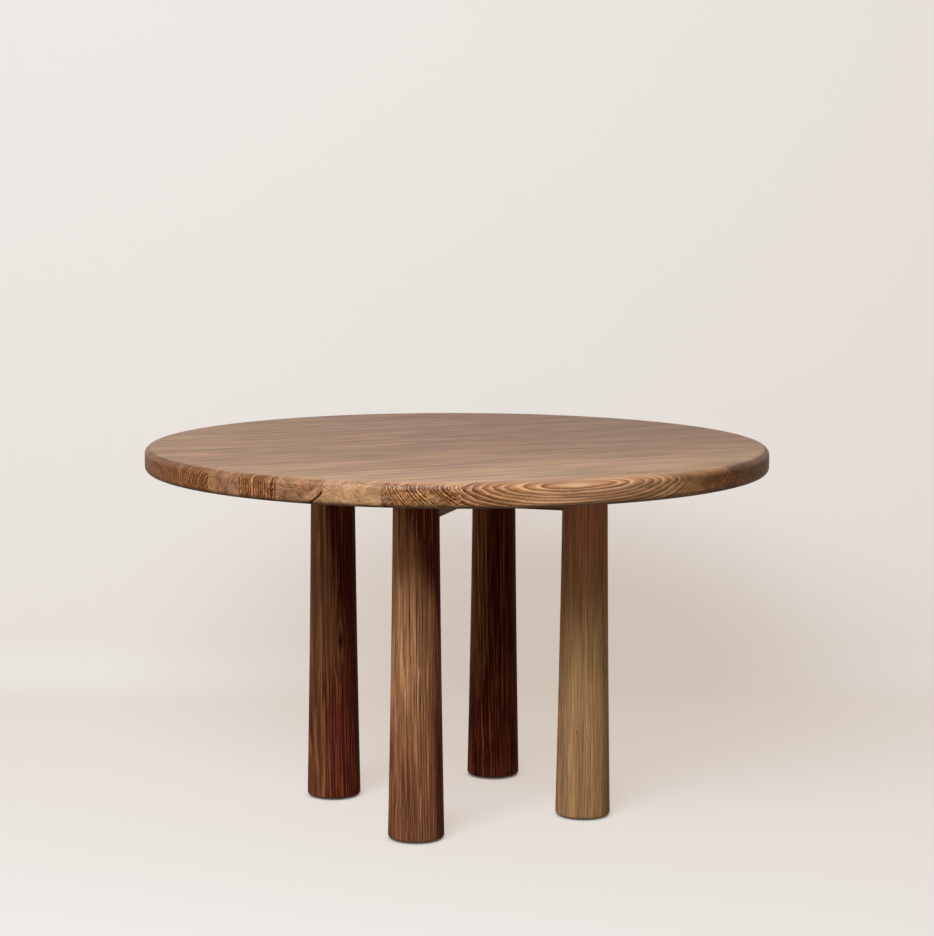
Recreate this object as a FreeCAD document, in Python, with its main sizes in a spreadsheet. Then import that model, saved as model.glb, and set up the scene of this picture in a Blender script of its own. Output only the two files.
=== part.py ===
import FreeCAD, Part
import math
import os
import Sketcher

# Round ash dining table: a thick top of glued boards on four turned legs, tied together
# by two rails that cross under the top. Millimetres, +Z up, origin on the floor under the
# middle of the table, X along the grain of the top.

doc = FreeCAD.newDocument("round_table")

SIZES = (
    ("table_height", "750", "floor to the top's upper face"),
    ("top_diameter", "1260", "finished diameter of the top"),
    ("top_thickness", "47", "finished thickness of the top"),
    ("rim_upper_round", "14", "radius worked on the rim's upper edge"),
    ("rim_lower_round", "10", "radius worked on the rim's lower edge"),
    ("edge_board_width", "70", "outermost board, from its joint to the rim"),
    ("spline_width", "24", "loose tongue, across the joint"),
    ("spline_thickness", "8", "loose tongue, along the top's thickness"),
    ("spline_setback", "70", "groove's end to the rim, along the joint"),
    ("spline_slack", "1", "room for glue past the tongue's edges and ends"),
    ("leg_spacing", "380", "leg axis to leg axis along the table's sides"),
    ("leg_top_diameter", "90", "leg just under the top"),
    ("leg_foot_diameter", "111", "leg at its foot, just above the rounded edge"),
    ("leg_hollow", "1.1", "depth of the leg's hollow side below a straight taper"),
    ("leg_foot_round", "4", "radius on the foot's edge"),
    ("rail_width", "40", "rail, side to side"),
    ("rail_depth", "78", "rail, top edge to bottom edge"),
    ("housing_depth", "2.5", "depth of the rail's corners in the leg's round side"),
    ("tenon_length", "48", "shoulder to the tenon's end"),
    ("tenon_height", "56", "tenon, top edge to bottom edge"),
    ("tenon_thickness", "14", "tenon, cheek to cheek"),
    ("tenon_slack", "1", "room for glue past the tenon's end"),
    ("fit_clearance", "0.1", "room on each side of a glued or pressed fit"),
    ("bolt_diameter", "8", "bolt's shank"),
    ("bolt_length", "60", "bolt, under its head"),
    ("bolt_grip", "14", "length of bolt inside the insert"),
    ("bolt_head_diameter", "13", "socket head"),
    ("bolt_head_height", "8", "socket head"),
    ("bolt_socket_width", "6", "hexagon socket, across its flats"),
    ("bolt_socket_depth", "4", "hexagon socket"),
    ("bolt_slack", "1.5", "room round the shank, so that the top can swell and shrink"),
    ("bolt_lap_setback", "45", "inner bolt to the side of the crossing rail"),
    ("bolt_leg_setback", "50", "outer bolt to the rail's shoulder"),
    ("thread_clearance", "0.05", "room between a thread's shank and its insert"),
    ("washer_diameter", "20", "washer under the bolt's head"),
    ("washer_thickness", "1.6", "washer under the bolt's head"),
    ("washer_clearance", "0.3", "room round the shank in the washer"),
    ("counterbore_room", "1", "room round the washer in its counterbore"),
    ("top_insert_diameter", "12", "threaded insert in the top"),
    ("top_insert_length", "16", "threaded insert in the top"),
    ("insert_slack", "1", "drilled depth past an insert"),
    ("glide_diameter", "64", "pad under the foot"),
    ("glide_thickness", "4", "pad under the foot"),
    ("glide_edge_round", "1.5", "radius on the pad's lower edge"),
    ("stud_diameter", "8", "screw of the glide"),
    ("stud_length", "30", "screw above the pad"),
    ("stud_flange_diameter", "22", "flange of the screw, let into the pad"),
    ("stud_flange_thickness", "2", "flange of the screw, let into the pad"),
    ("stud_bore_room", "1", "room round the screw and past its end, in the leg"),
    ("foot_insert_diameter", "14", "threaded insert in the foot"),
    ("foot_insert_length", "25", "threaded insert in the foot"),
)

sheet = doc.addObject("Spreadsheet::Sheet", "Sizes")
for row, (alias, number, note) in enumerate(SIZES, start=1):
    sheet.set(f"A{row}", note)
    sheet.set(f"B{row}", number)
    sheet.setAlias(f"B{row}", alias)
doc.recompute()


class Length:
    """A spreadsheet expression together with the number that it gives now."""

    def __init__(self, text, value):
        self.text = text
        self.value = value

    def __add__(self, other):
        other = length(other)
        return Length(f"({self.text} + {other.text})", self.value + other.value)

    def __sub__(self, other):
        other = length(other)
        return Length(f"({self.text} - {other.text})", self.value - other.value)

    def __mul__(self, factor):
        factor = length(factor)
        return Length(f"({self.text} * {factor.text})", self.value * factor.value)

    def __truediv__(self, divisor):
        divisor = length(divisor)
        return Length(f"({self.text} / {divisor.text})", self.value / divisor.value)

    def __neg__(self):
        return Length(f"(0 - {self.text})", -self.value)


def length(number):
    """A plain number as a Length."""
    if isinstance(number, Length):
        return number
    return Length(str(number), float(number))


def root(square):
    """Square root of a Length."""
    return Length(f"sqrt({square.text})", math.sqrt(square.value))


def size(alias):
    """A driving dimension of the sheet."""
    return Length(f"Sizes.{alias}", float(sheet.get(alias)))


# The top and its place: equal boards between two edge boards, with a joint on the centre line
BOARDS_EACH_SIDE = 8
top_radius = size("top_diameter") / 2
top_underside = size("table_height") - size("top_thickness")
board_width = (top_radius - size("edge_board_width")) / (BOARDS_EACH_SIDE - 1)

# A spline's groove is centred on its joint and on the top's thickness
groove_reach = size("spline_width") / 2 + size("spline_slack")
groove_thickness = size("spline_thickness") + size("fit_clearance") * 2

# The rails meet the legs' axes on the diagonals of their square
leg_offset = size("leg_spacing") / 2
leg_diagonal = size("leg_spacing") / root(length(2))
leg_height = top_underside - size("glide_thickness")
leg_top_radius = size("leg_top_diameter") / 2
leg_foot_radius = size("leg_foot_diameter") / 2
rail_half_width = size("rail_width") / 2
rail_underside = top_underside - size("rail_depth")
leg_chord = root(leg_top_radius * leg_top_radius - rail_half_width * rail_half_width)
shoulder_to_axis = leg_chord - size("housing_depth")
rail_shoulder = leg_diagonal - shoulder_to_axis
tenon_shelf = (size("rail_depth") - size("tenon_height")) / 2

# Bolts along each rail, counted from the crossing
bolt_places = (
    rail_half_width + size("bolt_lap_setback"),
    rail_shoulder - size("bolt_leg_setback"),
)
bolt_head_seat = top_underside + size("bolt_grip") - size("bolt_length")
counterbore_depth = bolt_head_seat + size("washer_thickness") - rail_underside
counterbore_diameter = size("washer_diameter") + size("counterbore_room") * 2
top_insert_hole_radius = size("top_insert_diameter") / 2 + size("fit_clearance")
top_insert_hole_depth = size("top_insert_length") + size("insert_slack")

LEGS = {
    "front_left": (-1, -1),
    "front_right": (1, -1),
    "back_left": (-1, 1),
    "back_right": (1, 1),
}
UP = FreeCAD.Vector(0, 0, 1)


def bind(obj, **properties):
    """Tie properties of an object to the sheet; Base_x stands for Placement.Base.x."""
    for name, value in properties.items():
        path = "Placement." + name.replace("_", ".") if name.startswith("Base_") else name
        obj.setExpression(path, length(value).text)


def new_body(label, turn=0):
    """An empty body, turned about the vertical by an angle in degrees."""
    body = doc.addObject("PartDesign::Body", label)
    body.Label = label
    body.Placement.Rotation = FreeCAD.Rotation(UP, turn)
    return body


def new_sketch(body, name, plane, offset=0):
    """A sketch on one of the body's origin planes, moved along the plane's normal."""
    sketch = body.newObject("Sketcher::SketchObject", name)
    planes = {feature.Role: feature for feature in body.Origin.OriginFeatures}
    sketch.AttachmentSupport = [(planes[plane], "")]
    sketch.MapMode = "FlatFace"
    sketch.setExpression("AttachmentOffset.Base.z", length(offset).text)
    return sketch


def pin(sketch, geometry, end, corner):
    """Hold a point of the sketch at a corner given by two Lengths."""
    for kind, axis, distance in (("DistanceX", -2, corner[0]), ("DistanceY", -1, corner[1])):
        if distance.text == "0":
            sketch.addConstraint(Sketcher.Constraint("PointOnObject", geometry, end, axis))
            continue
        index = sketch.addConstraint(
            Sketcher.Constraint(kind, -1, 1, geometry, end, distance.value)
        )
        sketch.setExpression(f"Constraints[{index}]", distance.text)


def arc_between(start, end, radius, turn):
    """An arc from start to end, turning left for turn 1 and right for turn -1."""
    chord = end - start
    rise = math.sqrt(radius**2 - (chord.Length / 2) ** 2)
    side = FreeCAD.Vector(-chord.y, chord.x, 0).normalize()
    centre = (start + end) / 2 + side * (turn * rise)
    first, last = (start, end) if turn > 0 else (end, start)
    angles = [math.atan2(point.y - centre.y, point.x - centre.x) for point in (first, last)]
    if angles[1] < angles[0]:
        angles[1] += 2 * math.pi
    return Part.ArcOfCircle(Part.Circle(centre, UP, radius), *angles)


def outline(sketch, corners, arcs=None):
    """Draw a closed outline; arcs gives (radius, turn) for edges by their first corner."""
    arcs = arcs or {}
    corners = [(length(x), length(y)) for x, y in corners]
    points = [FreeCAD.Vector(x.value, y.value, 0) for x, y in corners]
    count = len(points)
    ends = []
    for number, start in enumerate(points):
        end = points[(number + 1) % count]
        if number in arcs:
            radius, turn = arcs[number]
            edge = sketch.addGeometry(arc_between(start, end, radius.value, turn))
            index = sketch.addConstraint(Sketcher.Constraint("Radius", edge, radius.value))
            sketch.setExpression(f"Constraints[{index}]", radius.text)
            ends.append((edge, 1, 2) if turn > 0 else (edge, 2, 1))
        else:
            edge = sketch.addGeometry(Part.LineSegment(start, end))
            ends.append((edge, 1, 2))
    for number, (edge, first, last) in enumerate(ends):
        following = ends[(number + 1) % count]
        sketch.addConstraint(
            Sketcher.Constraint("Coincident", edge, last, following[0], following[1])
        )
        pin(sketch, edge, first, corners[number])


def rectangle(sketch, low, high):
    """Draw a rectangle between two opposite corners."""
    outline(sketch, (low, (high[0], low[1]), high, (low[0], high[1])))


def circle(sketch, centre, radius):
    """Draw a circle about a centre given by two Lengths."""
    centre = [length(value) for value in centre]
    middle = FreeCAD.Vector(centre[0].value, centre[1].value, 0)
    edge = sketch.addGeometry(Part.Circle(middle, UP, radius.value))
    index = sketch.addConstraint(Sketcher.Constraint("Radius", edge, radius.value))
    sketch.setExpression(f"Constraints[{index}]", radius.text)
    pin(sketch, edge, 3, centre)


def feature(body, kind, sketch, **settings):
    """Add a PartDesign feature made from a sketch; Lengths are bound to the sheet."""
    made = body.newObject(f"PartDesign::{kind}", f"{body.Label}_{kind.lower()}")
    made.Profile = sketch
    for name, value in settings.items():
        if isinstance(value, Length):
            made.setExpression(name, value.text)
        else:
            setattr(made, name, value)
    return made


def turned(body, sketch):
    """Revolve a profile about the upright axis."""
    feature(body, "Revolution", sketch, ReferenceAxis=(sketch, ["V_Axis"]), Angle=360)


def cut(body, sketch, **settings):
    """Pocket a sketch and make sure that the pocket removes material."""
    doc.recompute()
    before = body.Shape.Volume
    feature(body, "Pocket", sketch, **settings)
    doc.recompute()
    if body.Shape.Volume >= before:
        raise RuntimeError(f"{body.Label}: {sketch.Label} cuts nothing")


def bolt_points():
    """X and Y of every bolt in the table's frame."""
    for along in bolt_places:
        step = along / root(length(2))
        for sign_x, sign_y in LEGS.values():
            yield step * sign_x, step * sign_y


def board_span(number):
    """The two edges of a board across the grain; None where the board ends at the rim."""
    low = board_width * number if number > -BOARDS_EACH_SIDE else None
    high = board_width * (number + 1) if number + 1 < BOARDS_EACH_SIDE else None
    return low, high


def groove_half_length(joint):
    """Half the length of the groove along a joint at this distance from the centre line."""
    half_chord = root(top_radius * top_radius - joint * joint)
    return half_chord - size("spline_setback")


def make_board(label, number):
    """One board of the top, cut to the round rim, with its grooves and insert holes."""
    thickness = size("top_thickness")
    upper = size("rim_upper_round")
    lower = size("rim_lower_round")
    low, high = board_span(number)
    board = new_body(label)

    rim = new_sketch(board, f"{label}_rim", "XZ_Plane")
    corners = (
        (0, 0),
        (top_radius - lower, 0),
        (top_radius, lower),
        (top_radius, thickness - upper),
        (top_radius - upper, thickness),
        (0, thickness),
    )
    outline(rim, corners, {1: (lower, 1), 3: (upper, 1)})
    turned(board, rim)

    edges = new_sketch(board, f"{label}_edges", "XY_Plane")
    clear = size("top_diameter")
    if low:
        rectangle(edges, (-clear, -clear), (clear, low))
    if high:
        rectangle(edges, (-clear, high), (clear, clear))
    cut(board, edges, Type="ThroughAll", SideType="Symmetric")

    grooves = new_sketch(board, f"{label}_grooves", "XY_Plane", thickness / 2)
    for joint in (low, high):
        if joint:
            reach = groove_half_length(joint)
            rectangle(grooves, (-reach, joint - groove_reach), (reach, joint + groove_reach))
    cut(board, grooves, Length=groove_thickness, SideType="Symmetric")

    least = low.value if low else -top_radius.value
    most = high.value if high else top_radius.value
    margin = top_insert_hole_radius.value
    held = [(x, y) for x, y in bolt_points() if least - margin < y.value < most + margin]
    if held:
        holes = new_sketch(board, f"{label}_insert_holes", "XY_Plane")
        for centre in held:
            circle(holes, centre, top_insert_hole_radius)
        cut(board, holes, Length=top_insert_hole_depth, Reversed=True)
    bind(board, Base_z=top_underside)
    return board


def make_spline(label, number):
    """The loose tongue in a joint between two boards."""
    joint = board_width * number
    half = groove_half_length(joint) - size("spline_slack")
    tongue = doc.addObject("Part::Box", label)
    tongue.Label = label
    bind(
        tongue,
        Length=half * 2,
        Width=size("spline_width"),
        Height=size("spline_thickness"),
        Base_x=-half,
        Base_y=joint - size("spline_width") / 2,
        Base_z=top_underside + (size("top_thickness") - size("spline_thickness")) / 2,
    )
    return tongue


def make_leg(label, signs):
    """A turned leg; its own X points at the middle of the table."""
    clearance = size("fit_clearance")
    leg = new_body(label, math.degrees(math.atan2(-signs[1], -signs[0])))

    foot_round = size("leg_foot_round")
    foot = new_sketch(leg, f"{label}_foot", "XZ_Plane")
    corners = (
        (0, 0),
        (leg_foot_radius - foot_round, 0),
        (leg_foot_radius, foot_round),
        (0, foot_round),
    )
    outline(foot, corners, {1: (foot_round, 1)})
    turned(leg, foot)

    waist_radius = (leg_foot_radius + leg_top_radius) / 2 - size("leg_hollow")
    stations = (
        (foot_round, leg_foot_radius),
        ((foot_round + leg_height) / 2, waist_radius),
        (leg_height, leg_top_radius),
    )
    sections = []
    for number, (height, radius) in enumerate(stations, 1):
        section = new_sketch(leg, f"{label}_section_{number}", "XY_Plane", height)
        circle(section, (0, 0), radius)
        sections.append(section)
    feature(leg, "AdditiveLoft", sections[0], Sections=sections[1:])

    housing = new_sketch(leg, f"{label}_housing", "XY_Plane", leg_height)
    half = rail_half_width + clearance
    rectangle(housing, (shoulder_to_axis, -half), (size("leg_foot_diameter"), half))
    cut(leg, housing, Length=size("rail_depth") + clearance)

    mortise = new_sketch(leg, f"{label}_mortise", "YZ_Plane", shoulder_to_axis)
    half = size("tenon_thickness") / 2 + clearance
    high = leg_height - tenon_shelf + clearance
    low = leg_height - tenon_shelf - size("tenon_height") - clearance
    rectangle(mortise, (-half, low), (half, high))
    cut(leg, mortise, Length=size("tenon_length") + size("tenon_slack"))

    insert_hole = new_sketch(leg, f"{label}_insert_hole", "XY_Plane")
    circle(insert_hole, (0, 0), size("foot_insert_diameter") / 2 + clearance)
    cut(leg, insert_hole, Length=size("foot_insert_length"), Reversed=True)
    stud_bore = new_sketch(leg, f"{label}_stud_bore", "XY_Plane")
    circle(stud_bore, (0, 0), size("stud_diameter") / 2 + size("stud_bore_room"))
    cut(leg, stud_bore, Length=size("stud_length") + size("stud_bore_room"), Reversed=True)
    bind(
        leg,
        Base_x=leg_offset * signs[0],
        Base_y=leg_offset * signs[1],
        Base_z=size("glide_thickness"),
    )
    return leg


def make_rail(label, turn, notch_low, notch_high):
    """A rail from leg to leg, with a tenon at each end and half its depth cut at the crossing."""
    rail = new_body(label, turn)
    side = new_sketch(rail, f"{label}_side", "XZ_Plane")
    rectangle(side, (-rail_shoulder, 0), (rail_shoulder, size("rail_depth")))
    feature(rail, "Pad", side, Length=size("rail_width"), SideType="Symmetric")

    tenons = new_sketch(rail, f"{label}_tenons", "XZ_Plane")
    tip = rail_shoulder + size("tenon_length")
    rectangle(tenons, (-tip, tenon_shelf), (tip, tenon_shelf + size("tenon_height")))
    feature(rail, "Pad", tenons, Length=size("tenon_thickness"), SideType="Symmetric")

    lap = new_sketch(rail, f"{label}_lap", "XZ_Plane")
    half = rail_half_width + size("fit_clearance")
    rectangle(lap, (-half, notch_low), (half, notch_high))
    cut(rail, lap, Type="ThroughAll", SideType="Symmetric")

    shanks = new_sketch(rail, f"{label}_bolt_holes", "XY_Plane")
    heads = new_sketch(rail, f"{label}_counterbores", "XY_Plane")
    for along in bolt_places:
        for centre in ((along, 0), (-along, 0)):
            circle(shanks, centre, size("bolt_diameter") / 2 + size("bolt_slack"))
            circle(heads, centre, counterbore_diameter / 2)
    cut(rail, shanks, Type="ThroughAll", Reversed=True)
    cut(rail, heads, Length=counterbore_depth, Reversed=True)
    bind(rail, Base_z=rail_underside)
    return rail


def cylinder(name, radius, height, x=0, y=0, z=0):
    """An upright cylinder standing at a point."""
    made = doc.addObject("Part::Cylinder", name)
    bind(made, Radius=radius, Height=height, Base_x=x, Base_y=y, Base_z=z)
    return made


def joined(kind, name, base, tool):
    """A boolean of two solids, kind Cut or Fuse."""
    made = doc.addObject(f"Part::{kind}", name)
    made.Base = base
    made.Tool = tool
    return made


def group(label, solids):
    """Identical pieces kept together as one node of separate solids."""
    made = doc.addObject("Part::Compound", label)
    made.Label = label
    made.Links = solids
    return made


def make_bolt(name, x, y):
    """A socket-head bolt, screwed up from below."""
    socket_radius = size("bolt_socket_width") / root(length(3))
    head_low = bolt_head_seat - size("bolt_head_height")
    head = cylinder(
        f"{name}_head", size("bolt_head_diameter") / 2, size("bolt_head_height"), x, y, head_low
    )
    shank = cylinder(
        f"{name}_shank", size("bolt_diameter") / 2, size("bolt_length"), x, y, bolt_head_seat
    )
    socket = doc.addObject("Part::Prism", f"{name}_socket")
    socket.Polygon = 6
    bind(
        socket,
        Circumradius=socket_radius,
        Height=size("bolt_socket_depth"),
        Base_x=x,
        Base_y=y,
        Base_z=head_low,
    )
    blank = joined("Fuse", f"{name}_blank", head, shank)
    return joined("Cut", name, blank, socket)


def make_ring(name, outer_radius, inner_radius, height, x, y, z):
    """A washer or a threaded insert: a short upright tube."""
    outside = cylinder(f"{name}_outside", outer_radius, height, x, y, z)
    inside = cylinder(f"{name}_inside", inner_radius, height, x, y, z)
    return joined("Cut", name, outside, inside)


def make_glide_pad(label, signs):
    """The nylon disc under a foot, with the seat of the screw's flange in its upper face."""
    pad = new_body(label)
    radius = size("glide_diameter") / 2
    edge = size("glide_edge_round")
    thickness = size("glide_thickness")
    seat_radius = size("stud_flange_diameter") / 2 + size("fit_clearance")
    seat = thickness - size("stud_flange_thickness")
    profile = new_sketch(pad, f"{label}_profile", "XZ_Plane")
    corners = (
        (0, 0),
        (radius - edge, 0),
        (radius, edge),
        (radius, thickness),
        (seat_radius, thickness),
        (seat_radius, seat),
        (0, seat),
    )
    outline(profile, corners, {1: (edge, 1)})
    turned(pad, profile)
    bind(pad, Base_x=leg_offset * signs[0], Base_y=leg_offset * signs[1])
    return pad


def make_glide_stud(label, signs):
    """The screw of a levelling glide: a flange in the pad and a shank up into the leg."""
    x = leg_offset * signs[0]
    y = leg_offset * signs[1]
    flange_low = size("glide_thickness") - size("stud_flange_thickness")
    flange = cylinder(
        f"{label}_flange",
        size("stud_flange_diameter") / 2,
        size("stud_flange_thickness"),
        x,
        y,
        flange_low,
    )
    shank = cylinder(
        f"{label}_shank",
        size("stud_diameter") / 2,
        size("stud_length"),
        x,
        y,
        size("glide_thickness"),
    )
    stud = joined("Fuse", label, flange, shank)
    stud.Label = label
    return stud


def make_top():
    """Boards from the front edge to the back edge, and the spline in each joint."""
    numbers = range(-BOARDS_EACH_SIDE, BOARDS_EACH_SIDE)
    boards = [make_board(f"top_board_{place:02d}", n) for place, n in enumerate(numbers, 1)]
    joints = range(1 - BOARDS_EACH_SIDE, BOARDS_EACH_SIDE)
    splines = [make_spline(f"top_spline_{place:02d}", n) for place, n in enumerate(joints, 1)]
    return boards + splines


def make_frame():
    """Legs and the two crossing rails."""
    legs = [make_leg(f"leg_{place}", signs) for place, signs in LEGS.items()]
    half_depth = size("rail_depth") / 2
    rails = [
        make_rail("rail_notched_above", 45, half_depth, size("rail_depth")),
        make_rail("rail_notched_below", -45, length(0), half_depth),
    ]
    return legs + rails


def make_fixings():
    """Bolts, washers and inserts that hold the top to the rails."""
    bolts = []
    washers = []
    inserts = []
    shank_radius = size("bolt_diameter") / 2
    for number, (x, y) in enumerate(bolt_points(), 1):
        bolts.append(make_bolt(f"bolt_{number}", x, y))
        washers.append(
            make_ring(
                f"washer_{number}",
                size("washer_diameter") / 2,
                shank_radius + size("washer_clearance"),
                size("washer_thickness"),
                x,
                y,
                bolt_head_seat,
            )
        )
        inserts.append(
            make_ring(
                f"insert_{number}",
                size("top_insert_diameter") / 2,
                shank_radius + size("thread_clearance"),
                size("top_insert_length"),
                x,
                y,
                top_underside,
            )
        )
    return [
        group("top_bolts", bolts),
        group("top_washers", washers),
        group("top_inserts", inserts),
    ]


def make_glides():
    """A levelling glide under each foot and the insert that it screws into."""
    pads = [make_glide_pad(f"glide_pad_{place}", signs) for place, signs in LEGS.items()]
    studs = [make_glide_stud(f"glide_stud_{place}", signs) for place, signs in LEGS.items()]
    inserts = [
        make_ring(
            f"foot_insert_{place}",
            size("foot_insert_diameter") / 2,
            size("stud_diameter") / 2 + size("thread_clearance"),
            size("foot_insert_length"),
            leg_offset * signs[0],
            leg_offset * signs[1],
            size("glide_thickness"),
        )
        for place, signs in LEGS.items()
    ]
    return pads + studs + [group("foot_inserts", inserts)]


pieces = make_top() + make_frame() + make_fixings() + make_glides()
doc.recompute()

for obj in doc.Objects:
    if "Invalid" in obj.State or "Error" in obj.State:
        raise RuntimeError(f"{obj.Label} failed: {obj.State}")
for piece in pieces:
    if piece.Shape.isNull() or not piece.Shape.isValid():
        raise RuntimeError(f"{piece.Label} has no valid shape")

os.makedirs("parts", exist_ok=True)
for piece in pieces:
    piece.Shape.exportStep(f"parts/{piece.Label}.step")
    print(f"{piece.Label}: {len(piece.Shape.Solids)} solid(s), {piece.Shape.Volume / 1000:.1f} cm3")
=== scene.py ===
import math
import random
from dataclasses import dataclass

import bpy
from mathutils import Matrix, Vector


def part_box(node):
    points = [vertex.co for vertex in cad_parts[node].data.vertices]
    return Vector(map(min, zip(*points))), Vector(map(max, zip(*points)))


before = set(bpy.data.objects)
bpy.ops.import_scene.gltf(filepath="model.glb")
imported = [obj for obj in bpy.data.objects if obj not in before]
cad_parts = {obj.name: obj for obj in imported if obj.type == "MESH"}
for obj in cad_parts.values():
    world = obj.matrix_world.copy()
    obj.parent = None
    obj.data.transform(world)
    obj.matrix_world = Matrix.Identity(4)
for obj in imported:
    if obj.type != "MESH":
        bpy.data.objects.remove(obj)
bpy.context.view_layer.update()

# Round ash dining table. The solids keep their shapes; this script gives every piece its
# wood, metal or nylon, and sets up the floor, the light and the camera.

scene = bpy.context.scene
MM = 0.001

# The camera stands in front of the table and to its left, looking slightly down.
# Its place is in metres from the middle of the table, and its turns are in degrees.
CAMERA_DISTANCE = 5.031
CAMERA_HEIGHT = 1.322
CAMERA_AZIMUTH = 27.89
CAMERA_YAW = 0.229
CAMERA_PITCH = 7.049
CAMERA_ROLL = 0.145
FOCAL_PIXELS = 2492.3
FRAME_PIXELS = 936
SENSOR_MM = 36.0

# The plaster as it lights the table, as it is seen, and the glow that is seen with it
PLASTER = (0.42, 0.36, 0.30, 1)
PLASTER_SEEN = (0.25, 0.30, 0.335, 1)
PLASTER_GLOW = (0.585, 0.495, 0.428, 1)

# The room's soft light, how much stronger it is from the left, and the room as it is seen
# past the backdrop
ROOM_LIGHT = (0.16, 0.141, 0.122)
ROOM_SLANT = 0.9
ROOM_SEEN = (0.66, 0.58, 0.515, 1)

# The lamp, in metres and watts; its place is given from the camera's side, and its aim in the
# table's frame
LAMP_WIDTH = 3.4
LAMP_HEIGHT = 1.8
LAMP_POWER = 260
LAMP_COLOUR = (0.94, 0.98, 1.0)
LAMP_PLACE = (-1.2, -3.7, 3.3)
LAMP_AIM = (0, 0, 0.4)


def view_point(right, away, up):
    """A point given from the camera's side: metres to the right, away from the camera and up."""
    turn = math.radians(CAMERA_AZIMUTH)
    x = right * math.cos(turn) + away * math.sin(turn)
    y = away * math.cos(turn) - right * math.sin(turn)
    return Vector((x, y, up))


class Graph:
    """Short-hand for wiring the nodes of one tree."""

    def __init__(self, tree):
        self.tree = tree

    def add(self, kind, inputs=None, **settings):
        """Add a node with these settings, and feed its inputs."""
        node = self.tree.nodes.new(kind)
        for name, value in settings.items():
            setattr(node, name, value)
        for name, value in (inputs or {}).items():
            self.feed(node.inputs[name], value)
        return node

    def feed(self, socket, value):
        """Link a socket to another one, or set its value."""
        if isinstance(value, bpy.types.NodeSocket):
            self.tree.links.new(value, socket)
        else:
            socket.default_value = value

    def math(self, operation, *values):
        node = self.add("ShaderNodeMath", operation=operation)
        for socket, value in zip(node.inputs, values):
            self.feed(socket, value)
        return node.outputs[0]

    def vector(self, operation, *values, output="Vector", **named):
        node = self.add("ShaderNodeVectorMath", operation=operation)
        for socket, value in zip(node.inputs, values):
            self.feed(socket, value)
        for name, value in named.items():
            self.feed(node.inputs[name], value)
        return node.outputs[output]

    def parts(self, vector):
        """The X, Y and Z of a vector."""
        return self.add("ShaderNodeSeparateXYZ", {"Vector": vector}).outputs

    def centred(self, value):
        """A noise from 0 to 1 as one from -0.5 to 0.5."""
        return self.math("SUBTRACT", value, 0.5)

    def square(self, value):
        return self.math("MULTIPLY", value, value)

    def smooth(self, value, low, high, start=0.0, end=1.0):
        """Smooth step from start to end as the value goes from low to high."""
        inputs = {"Value": value, "From Min": low, "From Max": high, "To Min": start, "To Max": end}
        node = self.add("ShaderNodeMapRange", inputs, interpolation_type="SMOOTHSTEP")
        return node.outputs["Result"]

    def band(self, value, start, full, fading, gone):
        """1 from full to fading, and 0 before start and after gone."""
        rising = self.smooth(value, start, full)
        return self.math("MULTIPLY", rising, self.smooth(value, fading, gone, 1.0, 0.0))

    def noise(self, position, detail=2.0, roughness=0.5, output="Fac"):
        inputs = {"Vector": position, "Scale": 1.0, "Detail": detail, "Roughness": roughness}
        node = self.add("ShaderNodeTexNoise", inputs, noise_dimensions="3D")
        return node.outputs[output]

    def mix(self, factor, first, second):
        """The first colour where the factor is 0, and the second where it is 1."""
        node = self.add("ShaderNodeMix", data_type="RGBA", blend_type="MIX")
        colours = [socket for socket in node.inputs if socket.type == "RGBA"]
        self.feed(node.inputs[0], factor)
        self.feed(colours[0], first)
        self.feed(colours[1], second)
        return next(socket for socket in node.outputs if socket.type == "RGBA")


# Length along the grain and width across it of each kind of figure in the wood, in millimetres
FIGURES = {
    "bend": (600, 110),
    "sway": (45, 14),
    "jitter": (70, 9),
    "tint": (400, 50),
    "cloud": (190, 20),
    "streak": (230, 14),
    "flame": (130, 5),
    "fleck": (150, 2.8),
    "thread": (120, 2.2),
    "fibre": (50, 1.0),
    "pore": (9, 0.5),
}
# Where in a year's growth its pale and its dark line start, are full, begin to fade and are gone
PALE_LINE = (0.0, 0.08, 0.12, 0.45)
DARK_LINE = (0.45, 0.9, 0.95, 1.0)
FAINTEST_LINE = 0.4
# Good and bad times: the millimetres of growth that they last, and how far they shift the rings
TIMES_LENGTH = 22
TIMES_SHIFT = 9.0
# Where the noise of the tints and of the flecks starts to count, and where it counts in full
TINT_SPAN = (0.35, 0.65)
FLECK_SPAN = (0.54, 0.72)
# A pore's edge in its cell, from full to none, and the share of pores outside the pale lines
PORE_EDGE = (0.10, 0.32)
STRAY_PORES = 0.2
# How far two seeds lie apart in the noises
SEED_STEP = (17.3, 31.7, 47.9)

GROWTH_INPUTS = (
    "Seed", "Pith Y", "Pith Z", "Drift Y", "Drift Z", "Ring", "Wander", "Jitter", "Stretch", "Ragged",
)
GROWTH_OUTPUTS = (
    "Light", "Dark", "Ring tone", "Tint", "Cloud", "Flame", "Fleck", "Streak", "Thread", "Fibre",
    "Pore", "Radius",
)


def pith_radius(graph, given, bend):
    """Distance from the pith, a line that runs with the grain, drifts across it and wanders."""
    place = graph.parts(given["Position"])
    farthest = graph.math("MULTIPLY", given["Wander"], 2.0)
    bend = graph.parts(graph.vector("SCALE", bend, Scale=farthest))
    offsets = []
    for axis, name in ((1, "Y"), (2, "Z")):
        pith = graph.math("MULTIPLY_ADD", given[f"Drift {name}"], place[0], given[f"Pith {name}"])
        offset = graph.math("SUBTRACT", place[axis], pith)
        offsets.append(graph.math("ADD", offset, bend[axis]))
    squares = graph.math("MULTIPLY_ADD", offsets[1], offsets[1], graph.square(offsets[0]))
    return graph.math("SQRT", squares)


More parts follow.
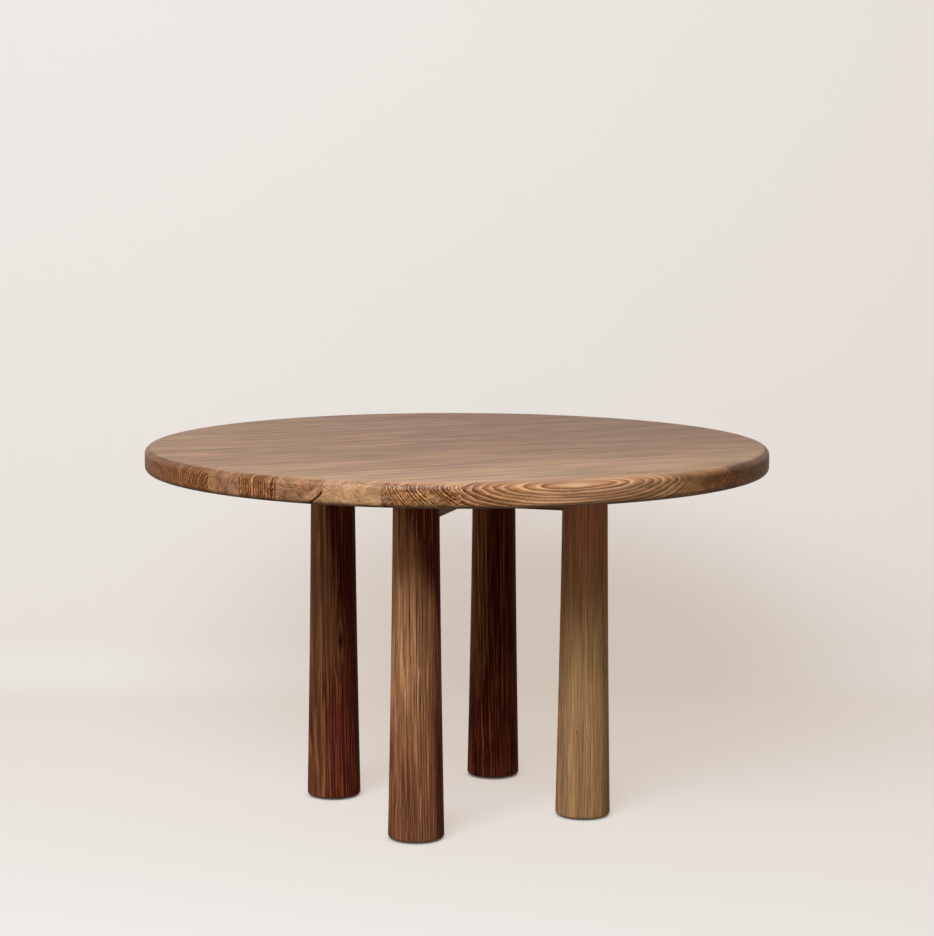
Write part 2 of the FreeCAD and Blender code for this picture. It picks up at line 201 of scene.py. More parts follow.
def ring_lines(graph, given, radius, jitter):
    """The pale and the dark line of each year's growth, and a tone by chance for each year."""
    times = graph.add("ShaderNodeTexNoise", {"Scale": 1.0}, noise_dimensions="1D")
    graph.feed(times.inputs["W"], graph.math("MULTIPLY_ADD", radius, 1 / TIMES_LENGTH, given["Seed"]))
    times = graph.centred(times.outputs["Fac"])
    grown = graph.math("MULTIPLY_ADD", times, TIMES_SHIFT, radius)
    years = graph.math("DIVIDE", grown, given["Ring"])
    years = graph.math("MULTIPLY_ADD", jitter, given["Jitter"], years)
    part = graph.math("FRACT", years)
    year = graph.math("ADD", graph.math("FLOOR", years), given["Seed"])
    chance = graph.add("ShaderNodeTexWhiteNoise", {"W": year}, noise_dimensions="1D")
    chance = graph.add("ShaderNodeSeparateColor", {"Color": chance.outputs["Color"]}).outputs
    lines = []
    for span, luck in ((PALE_LINE, chance[0]), (DARK_LINE, chance[1])):
        strength = graph.math("MULTIPLY_ADD", luck, 1 - FAINTEST_LINE, FAINTEST_LINE)
        lines.append(graph.math("MULTIPLY", graph.band(part, *span), strength))
    return lines[0], lines[1], chance[2]


def growth_group():
    """Node group: the growth rings, fibre and pores of a tree at a place in a piece of wood.

    Position is in millimetres, X along the grain.
    """
    tree = bpy.data.node_groups.new("growth", "ShaderNodeTree")
    face = tree.interface
    face.new_socket("Position", in_out="INPUT", socket_type="NodeSocketVector")
    for name in GROWTH_INPUTS:
        face.new_socket(name, in_out="INPUT", socket_type="NodeSocketFloat")
    for name in GROWTH_OUTPUTS:
        face.new_socket(name, in_out="OUTPUT", socket_type="NodeSocketFloat")

    graph = Graph(tree)
    given = graph.add("NodeGroupInput").outputs
    result = graph.add("NodeGroupOutput").inputs
    seed_shift = graph.vector("SCALE", SEED_STEP, Scale=given["Seed"])
    shorter = graph.math("DIVIDE", 1.0, given["Stretch"])
    shrink = graph.add("ShaderNodeCombineXYZ", {"X": shorter, "Y": 1.0, "Z": 1.0})
    fibres = graph.vector("MULTIPLY", given["Position"], shrink.outputs["Vector"])

    def spread(figure, position=fibres):
        """Position shrunk so that one unit is the length along and the width across of a figure."""
        along, across = FIGURES[figure]
        scale = (1 / along, 1 / across, 1 / across)
        return graph.vector("MULTIPLY_ADD", position, scale, seed_shift)

    def sideways(figure):
        """A centred noise in each direction."""
        colour = graph.noise(spread(figure), output="Color")
        return graph.vector("SUBTRACT", colour, (0.5, 0.5, 0.5))

    sway = graph.vector("SCALE", sideways("sway"), Scale=given["Ragged"])
    ragged = graph.vector("MULTIPLY_ADD", sway, (0.0, 1.0, 1.0), fibres)
    radius = pith_radius(graph, given, sideways("bend"))
    jitter = graph.centred(graph.noise(spread("jitter"), detail=3.0))
    light, dark, tone = ring_lines(graph, given, radius, jitter)

    tint = graph.noise(spread("tint"), detail=3.0)
    fleck = graph.noise(spread("fleck", ragged), detail=2.0)
    cells = graph.add("ShaderNodeTexVoronoi", {"Vector": spread("pore"), "Scale": 1.0})
    vessel = graph.smooth(cells.outputs["Distance"], *PORE_EDGE, 1.0, 0.0)
    crowding = graph.math("MULTIPLY_ADD", light, 1 - STRAY_PORES, STRAY_PORES)
    outputs = {
        "Light": light,
        "Dark": dark,
        "Ring tone": tone,
        "Tint": graph.smooth(tint, *TINT_SPAN),
        "Cloud": graph.noise(spread("cloud"), detail=4.0),
        "Flame": graph.noise(spread("flame", ragged), detail=3.0, roughness=0.6),
        "Fleck": graph.smooth(fleck, *FLECK_SPAN),
        "Streak": graph.noise(spread("streak"), detail=4.0, roughness=0.6),
        "Thread": graph.noise(spread("thread"), detail=3.0, roughness=0.7),
        "Fibre": graph.noise(spread("fibre"), detail=3.0, roughness=0.6),
        "Pore": graph.math("MULTIPLY", vessel, crowding),
        "Radius": radius,
    }
    for name, socket in outputs.items():
        graph.feed(result[name], socket)
    return tree


growth_rings = growth_group()


class Timber:
    """The colours of a wood: its pale lines, its ground and its dark lines."""

    def __init__(self, light, main, dark):
        self.light = (*light, 1)
        self.main = (*main, 1)
        self.dark = (*dark, 1)


SAPWOOD = Timber((0.66, 0.45, 0.275), (0.465, 0.268, 0.15), (0.22, 0.09, 0.035))
GOLDEN_SAPWOOD = Timber((0.67, 0.43, 0.235), (0.46, 0.246, 0.124), (0.21, 0.08, 0.026))
HEARTWOOD = Timber((0.46, 0.22, 0.078), (0.14, 0.043, 0.011), (0.03, 0.007, 0.003))
ROSY_SAPWOOD = Timber((0.52, 0.292, 0.14), (0.355, 0.17, 0.08), (0.155, 0.055, 0.02))
OLIVE_SAPWOOD = Timber((0.54, 0.35, 0.172), (0.41, 0.237, 0.106), (0.19, 0.09, 0.032))
# Russet for the top of the front right leg: partly the wood's own red streaks, partly painted warm
# light bounced from under the top
RUSSET_SAPWOOD_AND_WARM_BOUNCE = Timber((0.52, 0.24, 0.125), (0.4, 0.17, 0.094), (0.18, 0.065, 0.03))
LEG_HEARTWOOD = Timber((0.26, 0.083, 0.04), (0.076, 0.011, 0.005), (0.011, 0.002, 0.001))

# Soft changes of tint within one board
PINK_TINT = (1.07, 1.035, 1.155, 1)
OLIVE_TINT = (0.93, 0.955, 0.865, 1)


@dataclass
class Growth:
    """How one piece of wood grew; millimetres in the piece's own frame, grain along X.

    A span along the grain is where it starts and ends, and a value at its start and at its end.
    """

    sap: Timber = SAPWOOD
    heart: Timber = HEARTWOOD
    # Another sapwood, and a span along the grain in which the first changes into it
    second_sap: Timber = SAPWOOD
    second_along: tuple = ()
    # The pith across the grain, and its change for each millimetre along the grain
    pith: tuple = (0.0, -60.0)
    drift: tuple = (0.0, 0.0)
    # Width of a year's ring, how far the pith wanders, and how uneven the rings are
    ring: float = 4.0
    wander: float = 5.0
    jitter: float = 0.8
    # How much longer the streaks are than in the top, and how far they sway to the side
    stretch: float = 1.0
    ragged: float = 9.0
    # Strength of the rings, the share of it on level faces, and a span in which it changes
    lines: float = 0.9
    face_lines: float = 1.0
    lines_along: tuple = ()
    # Strength of the pale flecks, and what is added to it on end grain
    flecks: float = 0.0
    end_flecks: float = 0.0
    # Depth of the shading in broad clouds, in flames and in fine threads
    clouds: float = 1.3
    grain: float = 0.2
    threads: float = 0.0
    tinted: bool = False
    # Share of the brightness left where an edge's lower round turns down, and underneath: painted
    # shade
    lower_round_shade: float = 1.0
    underside_shade: float = 1.0
    # Age goes from 0 for sapwood to 1 for heartwood. More is added in spans along the grain (for most
    # boards of the top, painted shade), on upright surfaces, and on end grain to the left and right
    age: float = 0.1
    age_along: tuple = ()
    edge_age: float = 0.0
    end_age: tuple = (0.0, 0.0)
    # Unevenness of the age on end grain
    end_mottle: float = 0.0
    # Older wood round the pith: its radius, the radius's change along the grain, half the width
    # of its soft edge, and the age that it adds
    hearts: tuple = ()
    # One ring as dark as bark: its radius, and where along the grain it starts and ends to fade
    dark_ring: tuple = None
    # Middle and size of each knot
    knots: tuple = ()
    # Shine of the polished level faces and of the upright ones
    face_gloss: float = 0.1
    gloss: float = 0.05
    seed: float = 0.0


def new_material(name):
    """A material, short-hand for its tree, and its shader."""
    material = bpy.data.materials.new(name)
    material.use_nodes = True
    return material, Graph(material.node_tree), material.node_tree.nodes["Principled BSDF"]


def add_relief(graph, shader, height, strength, depth):
    """Raise and lower the surface by a height, one unit of which is this depth in metres."""
    bump = graph.add("ShaderNodeBump", {"Height": height, "Strength": strength, "Distance": depth})
    graph.feed(shader.inputs["Normal"], bump.outputs["Normal"])


# How strongly a knot draws in the grain, and the share of its size that is its dark core
KNOT_PULL = 0.75
KNOT_CORE = 0.3


def draw_round_knots(graph, position, knots):
    """The position with the grain drawn round the knots, and how far it is inside a knot."""
    core = None
    drawn = position
    for middle, size in knots:
        offset = graph.vector("SUBTRACT", position, middle)
        reach = graph.vector("LENGTH", graph.vector("DIVIDE", offset, size), output="Value")
        pull = graph.vector("SCALE", offset, Scale=graph.smooth(reach, 0.0, 1.0, -KNOT_PULL, 0.0))
        drawn = graph.vector("ADD", drawn, pull)
        spot = graph.smooth(reach, 0.0, KNOT_CORE, 1.0, 0.0)
        core = spot if core is None else graph.math("MAXIMUM", core, spot)
    return drawn, core


def growth_at(graph, position, given):
    """What the growth group finds at a position in the piece."""
    tree = graph.add("ShaderNodeGroup", node_tree=growth_rings)
    values = {
        "Position": position,
        "Seed": given.seed,
        "Pith Y": given.pith[0],
        "Pith Z": given.pith[1],
        "Drift Y": given.drift[0],
        "Drift Z": given.drift[1],
        "Ring": given.ring,
        "Wander": given.wander,
        "Jitter": given.jitter,
        "Stretch": given.stretch,
        "Ragged": given.ragged,
    }
    for name, value in values.items():
        graph.feed(tree.inputs[name], value)
    return tree.outputs


# What flames and streaks change in the age, and how many millimetres they shift a heart's edge
FLAME_AGE = 0.5
STREAK_AGE = 0.6
FLAME_SHIFT = 50.0
STREAK_SHIFT = 40.0
# Square of a normal's part along the grain from which a face is all end grain, and the part
# within which left turns into right
END_GRAIN = 0.25
END_TURN = 0.1


def ageing(graph, given, along, normal, found):
    """The change from sapwood, 0, to heartwood, 1; for most boards of the top its span along the
    grain is painted shade.
    """
    flame = graph.centred(found["Flame"])
    streak = graph.centred(found["Streak"])
    age = graph.math("MULTIPLY_ADD", flame, FLAME_AGE, given.age)
    age = graph.math("MULTIPLY_ADD", streak, STREAK_AGE, age)
    for span in given.age_along:
        age = graph.math("ADD", age, graph.smooth(along, *span))
    if given.edge_age:
        level = graph.square(normal[2])
        age = graph.math("ADD", age, graph.smooth(level, 0.0, 1.0, given.edge_age, 0.0))
    if any(given.end_age):
        end = graph.smooth(graph.square(normal[0]), 0.0, END_GRAIN)
        added = graph.smooth(normal[0], -END_TURN, END_TURN, *given.end_age)
        added = graph.math("MULTIPLY_ADD", flame, given.end_mottle, added)
        age = graph.math("MULTIPLY_ADD", end, added, age)
    for radius, taper, edge, added in given.hearts:
        reach = graph.math("MULTIPLY_ADD", along, -taper, found["Radius"])
        reach = graph.math("MULTIPLY_ADD", streak, STREAK_SHIFT, reach)
        reach = graph.math("MULTIPLY_ADD", flame, FLAME_SHIFT, reach)
        age = graph.math("ADD", age, graph.smooth(reach, radius - edge, radius + edge, added, 0.0))
    return graph.math("MINIMUM", graph.math("MAXIMUM", age, 0.0), 1.0)


# Distance from the middle of a ring of bark at which it is still full, and at which it has ended
BARK_FULL = 0.8
BARK_END = 2.8


def ring_colour(graph, given, age, along, normal, found):
    """The ground colour with its pale and dark rings and its pale flecks."""
    colours = []
    for tone in ("light", "main", "dark"):
        young = getattr(given.sap, tone)
        if given.second_along:
            change = graph.smooth(along, *given.second_along)
            young = graph.mix(change, young, getattr(given.second_sap, tone))
        colours.append(graph.mix(age, young, getattr(given.heart, tone)))
    light, main, dark = colours
    strength = given.lines
    if given.face_lines != 1.0:
        level = graph.square(normal[2])
        strength = graph.smooth(level, 0.0, 1.0, given.lines, given.lines * given.face_lines)
    if given.lines_along:
        strength = graph.math("MULTIPLY", strength, graph.smooth(along, *given.lines_along))
    paleness = graph.math("MULTIPLY", found["Light"], strength)
    flecks = given.flecks
    if given.end_flecks:
        most = given.flecks + given.end_flecks
        flecks = graph.smooth(graph.square(normal[0]), 0.0, END_GRAIN, given.flecks, most)
    paleness = graph.math("MULTIPLY_ADD", found["Fleck"], flecks, paleness)
    darkness = graph.math("MULTIPLY", found["Dark"], strength)
    colour = graph.mix(graph.math("MINIMUM", paleness, 1.0), main, light)
    colour = graph.mix(graph.math("MINIMUM", darkness, 1.0), colour, dark)
    if given.dark_ring is not None:
        radius, fading, gone = given.dark_ring
        off_ring = graph.math("ABSOLUTE", graph.math("SUBTRACT", found["Radius"], radius))
        bark = graph.smooth(off_ring, BARK_FULL, BARK_END, 1.0, 0.0)
        bark = graph.math("MULTIPLY", bark, graph.smooth(along, fading, gone, 1.0, 0.0))
        colour = graph.mix(bark, colour, given.heart.dark)
    return colour


# Depth of the shading that is the same in all the wood, and the darkest shade
FIBRE_SHADE = 0.5
STREAK_SHADE = 0.8
RING_SHADE = 0.2
PORE_SHADE = -0.3
DARKEST_SHADE = 0.1
# Upward part of the normal where an edge's lower round starts to turn down, where the flat
# bottom face starts, and where it is level, for the painted shade on wood that faces down
ROUND_START = 0.2
UNDERSIDE_START = -0.97
UNDERSIDE_LEVEL = -1.0


def shading(graph, given, normal, found):
    """How light or dark the fibres, streaks, rings and pores make the wood, with painted shade on
    wood that faces down.
    """
    shade = 1.0
    for figure, depth in (
        ("Fibre", FIBRE_SHADE),
        ("Flame", given.grain),
        ("Streak", STREAK_SHADE),
        ("Cloud", given.clouds),
        ("Ring tone", RING_SHADE),
        ("Thread", given.threads),
    ):
        shade = graph.math("MULTIPLY_ADD", graph.centred(found[figure]), depth, shade)
    shade = graph.math("MULTIPLY_ADD", found["Pore"], PORE_SHADE, shade)
    shade = graph.math("MAXIMUM", shade, DARKEST_SHADE)
    # Painted shade: wood that faces down is darker, most of all on the lower round of an edge
    if given.lower_round_shade != 1.0:
        painted_round_shade = graph.smooth(normal[2], UNDERSIDE_LEVEL, ROUND_START, given.lower_round_shade, 1.0)
        painted_flat_shade = graph.smooth(normal[2], UNDERSIDE_LEVEL, UNDERSIDE_START, given.underside_shade, 0.0)
        shade = graph.math("MULTIPLY", shade, graph.math("MAXIMUM", painted_round_shade, painted_flat_shade))
    return shade


# Upward part of the normal where a surface stops being upright, and where it counts as level
UPRIGHT = 0.05
LEVEL = 0.6
# Roughness of oiled wood, and what its fibres and pores add to it
ROUGHNESS = 0.38
FIBRE_ROUGHNESS = 0.2
PORE_ROUGHNESS = 0.2
# Heights of fibres, pores and pale lines as shares of the relief, the relief's height and strength
FIBRE_HEIGHT = 0.5
PORE_HEIGHT = -1.0
LINE_HEIGHT = -0.3
RELIEF = 0.2 * MM
RELIEF_STRENGTH = 0.25


def oiled_surface(graph, shader, given, normal, found):
    """Shine, roughness and relief of oiled wood."""
    gloss = given.gloss
    if given.face_gloss != given.gloss:
        gloss = graph.smooth(normal[2], UPRIGHT, LEVEL, given.gloss, given.face_gloss)
    graph.feed(shader.inputs["Specular IOR Level"], gloss)
    rough = graph.math("MULTIPLY_ADD", found["Fibre"], FIBRE_ROUGHNESS, ROUGHNESS)
    rough = graph.math("MULTIPLY_ADD", found["Pore"], PORE_ROUGHNESS, rough)
    graph.feed(shader.inputs["Roughness"], rough)
    height = graph.math("MULTIPLY", graph.centred(found["Fibre"]), FIBRE_HEIGHT)
    height = graph.math("MULTIPLY_ADD", found["Pore"], PORE_HEIGHT, height)
    height = graph.math("MULTIPLY_ADD", found["Light"], LINE_HEIGHT, height)
    add_relief(graph, shader, height, RELIEF_STRENGTH, RELIEF)


def wood(name, location, rotation, given):
    """Oiled wood with growth rings, a change from sapwood to heartwood, streaks, fibre and pores.

    Location and rotation take the table's frame, in millimetres, to the piece's own frame.
    """
    material, graph, shader = new_material(name)
    coordinates = graph.add("ShaderNodeTexCoord").outputs
    mapping = graph.add("ShaderNodeMapping", {"Vector": coordinates["Object"]}, vector_type="POINT")
    mapping.inputs["Scale"].default_value = (1 / MM, 1 / MM, 1 / MM)
    mapping.inputs["Rotation"].default_value = rotation
    mapping.inputs["Location"].default_value = location
    normal = graph.parts(coordinates["Normal"])
    position, core = draw_round_knots(graph, mapping.outputs["Vector"], given.knots)
    along = graph.parts(position)[0]
    found = growth_at(graph, position, given)

    age = ageing(graph, given, along, normal, found)
    colour = ring_colour(graph, given, age, along, normal, found)
    if core is not None:
        colour = graph.mix(core, colour, given.heart.dark)
    if given.tinted:
        colour = graph.vector("MULTIPLY", colour, graph.mix(found["Tint"], PINK_TINT, OLIVE_TINT))
    colour = graph.vector("SCALE", colour, Scale=shading(graph, given, normal, found))
    graph.feed(shader.inputs["Base Color"], colour)
    oiled_surface(graph, shader, given, normal, found)
    return material


def dress(node, material):
    """Give a CAD node its finished material."""
    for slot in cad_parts[node].material_slots:
        slot.material = material


def nodes_named(prefix):
    """The CAD nodes whose names begin with these letters, in order."""
    return sorted(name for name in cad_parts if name.startswith(prefix))


def centre(node):
    """Middle of a node's box, in millimetres."""
    low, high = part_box(node)
    return (low + high) / 2 / MM


# Seeds of the first board, leg, rail and loose tongue; each next piece has the next seed
BOARD_SEED = 1.0
LEG_SEED = 21.0
RAIL_SEED = 31.0
TONGUE_SEED = 41.0

# The fibres of the top run slightly askew to its joints
GRAIN_SLOPE = math.radians(2.4)

# Seed of the differences between the boards, and what all the boards have in common
TOP_CHANCE = 7
TOP_WOOD = dict(
    # Painted shade: age rises from -X to +X, so the boards darken towards +X as the lamp's light
    # falls off
    age_along=[(-600, 600, -0.1, 0.16)], face_lines=0.5, face_gloss=0.36, clouds=1.8, threads=0.85,
    # Painted shade where the boards face down, most on the lower round of their edges
    tinted=True, end_flecks=0.9, end_mottle=2.5, lower_round_shade=0.2, underside_shade=0.8,
)

# Growth of the boards at the front of the top, as their ends and edges show it on the rim.
# The pith is given from the middle of the board's section.
FRONT_BOARDS = {
    "top_board_01": dict(
        sap=GOLDEN_SAPWOOD, pith=(-57.0, 32.0), drift=(-0.086, 0.0), ring=5.0, wander=2.0,
        lines=1.2, lines_along=(130, 220, 1.0, 0.2), age=0.08, age_along=[(-255, -95, 0.43, 0.0)],
        edge_age=0.24, end_age=(0.0, 0.7), end_flecks=0.4, end_mottle=1.0, seed=2.3,
    ),
    "top_board_02": dict(
        pith=(-140.0, 50.0), ring=2.8, wander=3.0, lines=1.2, age=-0.02, end_age=(0.95, 1.5),
    ),
    "top_board_03": dict(
        pith=(-44.0, 70.0), ring=3.4, lines=0.6, age=0.08, end_age=(0.38, 1.2), end_flecks=0.3,
        end_mottle=1.0,
    ),
    "top_board_04": dict(
        pith=(-7.0, 40.0), ring=5.0, lines=0.4, age=0.18, end_age=(0.56, 1.0), end_flecks=0.2,
        end_mottle=0.8, dark_ring=(64.5, -470, -400),
    ),
    "top_board_05": dict(
        pith=(136.0, -10.0), ring=5.0, jitter=1.4, lines=1.1, age=0.34, end_age=(0.68, 0.75),
        end_flecks=0.4, end_mottle=1.0,
    ),
    "top_board_06": dict(
        pith=(-95.0, 30.0), ring=6.0, lines=0.3, age=0.38, end_age=(0.38, 0.6), end_flecks=0.2,
        end_mottle=0.8, knots=[((-137, -20, 0), (16, 20, 200))],
    ),
    "top_board_07": dict(
        pith=(-86.0, -50.0), ring=6.0, jitter=1.2, age=0.5, end_age=(1.05, 0.8), end_flecks=0.5,
        knots=[((300, -5, 0), (70, 16, 200))],
    ),
    "top_board_08": dict(pith=(94.0, 0.0), ring=6.0, age=0.5, end_age=(1.0, 0.8)),
    "top_board_09": dict(end_age=(1.1, 0.8), knots=[((100, 20, 0), (70, 16, 200))]),
    "top_board_10": dict(end_age=(1.2, 0.8)),
}


def dress_top():
    """The boards of the top, grain along X."""
    chance = random.Random(TOP_CHANCE)
    for number, node in enumerate(nodes_named("top_board_")):
        growing = dict(
            TOP_WOOD,
            pith=(chance.uniform(-60, 60), chance.uniform(-90, -30)),
            drift=(chance.uniform(-0.02, 0.02), chance.uniform(-0.02, 0.02)),
            ring=chance.uniform(3, 6),
            age=chance.uniform(0.39, 0.53),
            end_age=(chance.uniform(0.3, 0.9), chance.uniform(0.3, 0.9)),
            seed=BOARD_SEED + number,
        )
        growing.update(FRONT_BOARDS.get(node, {}))
        middle = centre(node)
        place = (0, -middle.y, -middle.z)
        dress(node, wood(node, place, (0, 0, GRAIN_SLOPE), Growth(**growing)))


# What all the legs have in common, and a pith beside the leg, on its right
LEG_WOOD = dict(
    heart=LEG_HEARTWOOD, jitter=1.5, stretch=2.2, ragged=5.0, clouds=0.6, grain=1.2,
    face_gloss=0.01, gloss=0.01,
)
RIGHT_HAND_PITH = (-10.0, -68.0)

# Growth of each leg; the pith is given from the leg's axis, towards the back and then to the left
# The age added in spans along the grain makes each leg darker towards its foot
LEGS = {
    "leg_front_left": dict(
        sap=ROSY_SAPWOOD, pith=RIGHT_HAND_PITH, ring=5.0, lines=0.6, flecks=1.0, threads=3.2,
        age=0.02, age_along=[(80, 470, 0.66, 0.0)],
        hearts=[(-70, 0.26, 28, 1.0), (50, 0.09, 25, 0.5)],
    ),
    # The front right leg turns russet towards its top: partly its own red streaks, partly painted
    # warm bounce light from under the top
    "leg_front_right": dict(
        sap=OLIVE_SAPWOOD, second_sap=RUSSET_SAPWOOD_AND_WARM_BOUNCE, second_along=(330, 660, 0.0, 1.0),
        pith=(22.0, 73.0), drift=(0.0, 0.025), ring=4.0, lines=0.55, flecks=0.4, threads=1.8,
        age=0.02, age_along=[(0, 300, 0.27, 0.0)], knots=[((180, -37, 36), (24, 6, 6))],
    ),
    "leg_back_left": dict(
        sap=ROSY_SAPWOOD, pith=RIGHT_HAND_PITH, ring=5.0, lines=0.6, flecks=0.7, threads=2.2,
        age=0.1, age_along=[(150, 650, 0.68, 0.0)],
        hearts=[(28, 0.12, 16, 1.0), (108, 0.0, 16, 0.25)], knots=[((335, -48, 6), (110, 30, 30))],
    ),
    "leg_back_right": dict(
        sap=ROSY_SAPWOOD, pith=RIGHT_HAND_PITH, ring=5.0, lines=0.7, flecks=0.6, threads=5.0,
        age=0.57, age_along=[(120, 330, 0.45, 0.0)], hearts=[(105, 0.0, 18, 0.5)],
    ),
}


def dress_legs():
    """The turned legs, grain upright."""
    upright = (0, math.radians(90), 0)
    for number, node in enumerate(nodes_named("leg_")):
        middle = centre(node)
        place = (0, -middle.y, middle.x)
        growing = Growth(seed=LEG_SEED + number, **LEG_WOOD, **LEGS[node])
        dress(node, wood(node, place, upright, growing))


# Turn in degrees that lays each rail along X
RAIL_TURNS = {"rail_notched_above": -45, "rail_notched_below": 45}


def dress_rails():
    """The crossed rails, grain along each diagonal."""
    for number, (node, degrees) in enumerate(RAIL_TURNS.items()):
        place = (0, 0, -centre(node).z)
        growing = Growth(pith=(10.0, -80.0), age=0.85, seed=RAIL_SEED + number)
        dress(node, wood(node, place, (0, 0, math.radians(degrees)), growing))


def dress_tongues():
    """The loose tongues between the boards, grain across the joints."""
    crosswise = (0, 0, math.radians(90))
    for number, node in enumerate(nodes_named("top_spline_")):
        place = (0, 0, -centre(node).z)
        growing = Growth(pith=(5.0, -40.0), age=0.3, seed=TONGUE_SEED + number)
        dress(node, wood(node, place, crosswise, growing))


# Most of a noise lies between these values
NOISE_SPAN = (0.3, 0.7)
# Strength of the relief on metal and nylon
FIXING_RELIEF_STRENGTH = 0.2


def metal(name, colour, roughness):
    """Turned metal with fine marks and slightly uneven colour."""
    marks_per_metre = (300, 300, 4000)
    mark_roughness = 0.25
    mark_depth = 0.05 * MM
    stains_per_metre = 150.0
    dullest = 0.85
    brightest = 1.05
    material, graph, shader = new_material(name)
    place = graph.add("ShaderNodeTexCoord").outputs["Object"]
    marks = graph.noise(graph.vector("MULTIPLY", place, marks_per_metre), detail=3.0)
    stains = graph.noise(graph.vector("SCALE", place, Scale=stains_per_metre), detail=3.0)
    tint = graph.smooth(stains, *NOISE_SPAN, dullest, brightest)
    graph.feed(shader.inputs["Base Color"], graph.vector("SCALE", colour, Scale=tint))
    shader.inputs["Metallic"].default_value = 1.0
    rough = graph.math("MULTIPLY_ADD", marks, mark_roughness, roughness)
    graph.feed(shader.inputs["Roughness"], rough)
    add_relief(graph, shader, marks, FIXING_RELIEF_STRENGTH, mark_depth)
    return material


def nylon(name, colour):
    """Moulded nylon, dull and slightly grained."""
    grains_per_metre = 2500.0
    grain_depth = 0.1 * MM
    scuffs_per_metre = 90.0
    darkest = 0.8
    palest = 1.3
    smoothest = 0.5
    roughest = 0.7
    material, graph, shader = new_material(name)
    place = graph.add("ShaderNodeTexCoord").outputs["Object"]
    grains = graph.noise(graph.vector("SCALE", place, Scale=grains_per_metre), detail=2.0)
    scuffs = graph.noise(graph.vector("SCALE", place, Scale=scuffs_per_metre), detail=4.0)
    tint = graph.smooth(scuffs, *NOISE_SPAN, darkest, palest)
    graph.feed(shader.inputs["Base Color"], graph.vector("SCALE", colour, Scale=tint))
    graph.feed(shader.inputs["Roughness"], graph.smooth(scuffs, *NOISE_SPAN, smoothest, roughest))
    add_relief(graph, shader, grains, FIXING_RELIEF_STRENGTH, grain_depth)
    return material


def dress_fixings():
    """The bolts that hold the top, and the glides."""
    steel = metal("steel", (0.56, 0.57, 0.58), 0.25)
    brass = metal("brass", (0.72, 0.52, 0.22), 0.3)
    black_nylon = nylon("nylon", (0.02, 0.018, 0.016))
    for material, prefixes in (
        (steel, ("top_bolts", "top_washers", "glide_stud_")),
        (brass, ("top_inserts", "foot_inserts")),
        (black_nylon, ("glide_pad_",)),
    ):
        for prefix in prefixes:
            for node in nodes_named(prefix):
                dress(node, material)


def seen_rays(graph):
    """1 for what is seen, directly or in gloss and glass, and 0 for what only lights the table."""
    path = graph.add("ShaderNodeLightPath").outputs
    mirrored = graph.math("MAXIMUM", path["Is Glossy Ray"], path["Is Transmission Ray"])
    return graph.math("MAXIMUM", path["Is Camera Ray"], mirrored)


def plaster():
    """Pale plaster, evenly lit but with a painted contact shadow close to what stands on it, and
    clear from behind.
    """
    contact_reach = 0.035
    crowded = 0.1
    open_enough = 0.65
    faintest_glow = 0.1
    material, graph, shader = new_material("plaster")
    shader.inputs["Roughness"].default_value = 0.9
    shader.inputs["Emission Color"].default_value = PLASTER_GLOW
    seen = seen_rays(graph)
    graph.feed(shader.inputs["Base Color"], graph.mix(seen, PLASTER, PLASTER_SEEN))
    # Painted contact shadow: the glow fades where the plaster is crowded by what stands on it
    painted_contact_shadow = graph.add("ShaderNodeAmbientOcclusion", {"Distance": contact_reach}, samples=4)
    glow_with_painted_shadow = graph.smooth(painted_contact_shadow.outputs["AO"], crowded, open_enough, faintest_glow, 1.0)
    graph.feed(shader.inputs["Emission Strength"], graph.math("MULTIPLY", seen, glow_with_painted_shadow))
    clear = graph.add("ShaderNodeBsdfTransparent")
    one_sided = graph.add("ShaderNodeMixShader")
    graph.feed(one_sided.inputs[0], graph.add("ShaderNodeNewGeometry").outputs["Backfacing"])
    graph.feed(one_sided.inputs[1], shader.outputs["BSDF"])
    graph.feed(one_sided.inputs[2], clear.outputs["BSDF"])
    surface = material.node_tree.nodes["Material Output"].inputs["Surface"]
    graph.feed(surface, one_sided.outputs["Shader"])
    return material


def make_backdrop():
    """A pale floor that curves up into a wall close behind the table."""
    half_width = 12.0
    front = -14.0
    wall_away = 1.12
    bend_radius = 0.12
    wall_height = 4.0
    bend_steps = 12
    profile = [(front, 0.0)]
    for step in range(bend_steps + 1):
        angle = math.radians(90) * step / bend_steps
        away = wall_away - bend_radius + bend_radius * math.sin(angle)
        profile.append((away, bend_radius - bend_radius * math.cos(angle)))
    profile.append((wall_away, wall_height))
    points = []
    for away, up in profile:
        points.append(view_point(-half_width, away, up))
        points.append(view_point(half_width, away, up))
    faces = []
    for row in range(len(profile) - 1):
        first = 2 * row
        faces.append((first, first + 1, first + 3, first + 2))
    mesh = bpy.data.meshes.new("backdrop")
    mesh.from_pydata(points, [], faces)
    mesh.shade_smooth()
    mesh.materials.append(plaster())
    backdrop = bpy.data.objects.new("backdrop", mesh)
    scene.collection.objects.link(backdrop)


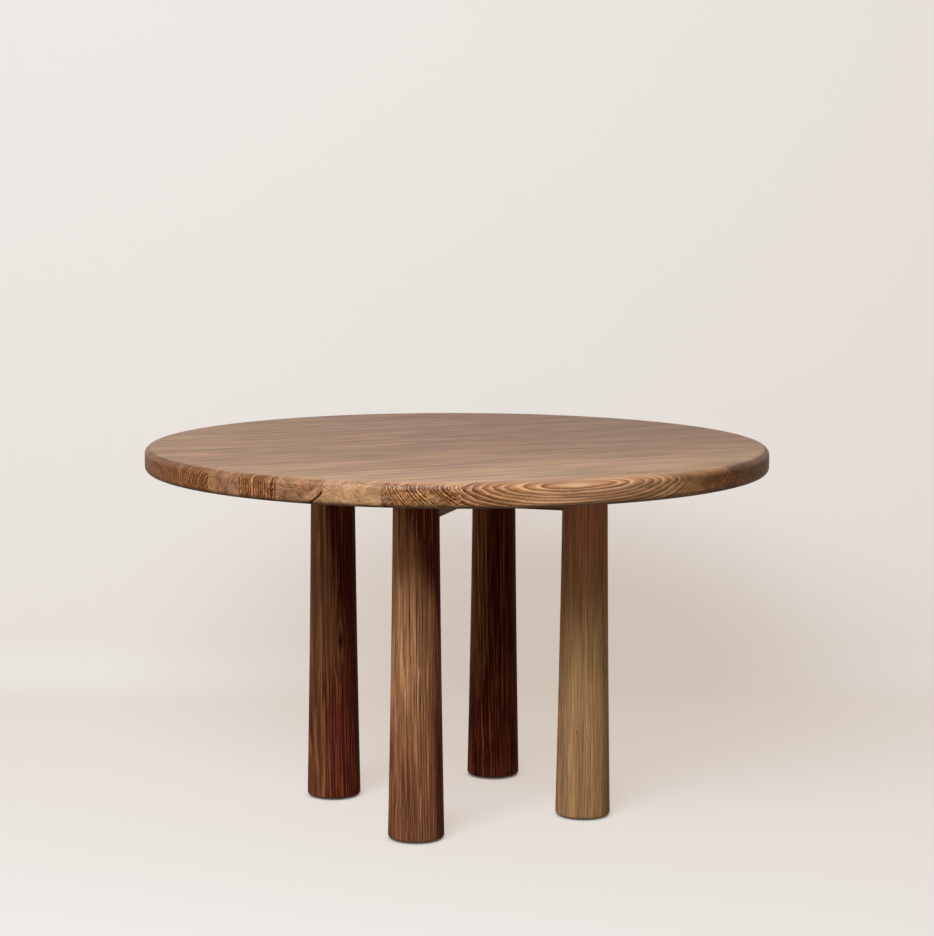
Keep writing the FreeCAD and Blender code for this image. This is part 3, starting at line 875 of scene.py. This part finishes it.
def make_lamp():
    """A wide soft lamp, higher than the camera and to the left of it, aimed at the table."""
    lamp = bpy.data.lights.new("key", "AREA")
    lamp.shape = "RECTANGLE"
    lamp.size = LAMP_WIDTH
    lamp.size_y = LAMP_HEIGHT
    lamp.energy = LAMP_POWER
    lamp.color = LAMP_COLOUR
    key = bpy.data.objects.new("key", lamp)
    key.location = view_point(*LAMP_PLACE)
    direction = Vector(LAMP_AIM) - key.location
    key.rotation_euler = direction.to_track_quat("-Z", "Y").to_euler()
    scene.collection.objects.link(key)


def make_room_light():
    """A soft light from all round that is stronger from the left."""
    world = bpy.data.worlds.new("room")
    world.use_nodes = True
    background = world.node_tree.nodes["Background"]
    graph = Graph(world.node_tree)
    direction = graph.add("ShaderNodeTexCoord").outputs["Generated"]
    leftward = graph.vector("DOT_PRODUCT", direction, view_point(-1, 0, 0), output="Value")
    strength = graph.math("MULTIPLY_ADD", leftward, ROOM_SLANT, 1.0)
    light = graph.vector("SCALE", ROOM_LIGHT, Scale=strength)
    graph.feed(background.inputs["Color"], graph.mix(seen_rays(graph), light, ROOM_SEEN))
    scene.world = world


def make_camera():
    """The camera at the photograph's place, direction and angle of view."""
    data = bpy.data.cameras.new("camera")
    data.sensor_width = SENSOR_MM
    data.lens = FOCAL_PIXELS * SENSOR_MM / FRAME_PIXELS
    camera = bpy.data.objects.new("camera", data)
    yaw = math.radians(CAMERA_YAW)
    pitch = math.radians(CAMERA_PITCH)
    roll = math.radians(CAMERA_ROLL)
    level = view_point(math.sin(yaw), math.cos(yaw), 0)
    forward = level * math.cos(pitch) - Vector((0, 0, math.sin(pitch)))
    right = forward.cross(Vector((0, 0, 1))).normalized()
    up = right.cross(forward)
    rolled_right = right * math.cos(roll) + up * math.sin(roll)
    rolled_up = up * math.cos(roll) - right * math.sin(roll)
    turn = Matrix((rolled_right, rolled_up, -forward)).transposed().to_4x4()
    place = Matrix.Translation(view_point(0, -CAMERA_DISTANCE, CAMERA_HEIGHT))
    camera.matrix_world = place @ turn
    scene.collection.objects.link(camera)
    scene.camera = camera


dress_top()
dress_legs()
dress_rails()
dress_tongues()
dress_fixings()
make_backdrop()
make_lamp()
make_room_light()
make_camera()
scene.view_settings.view_transform = "Standard"
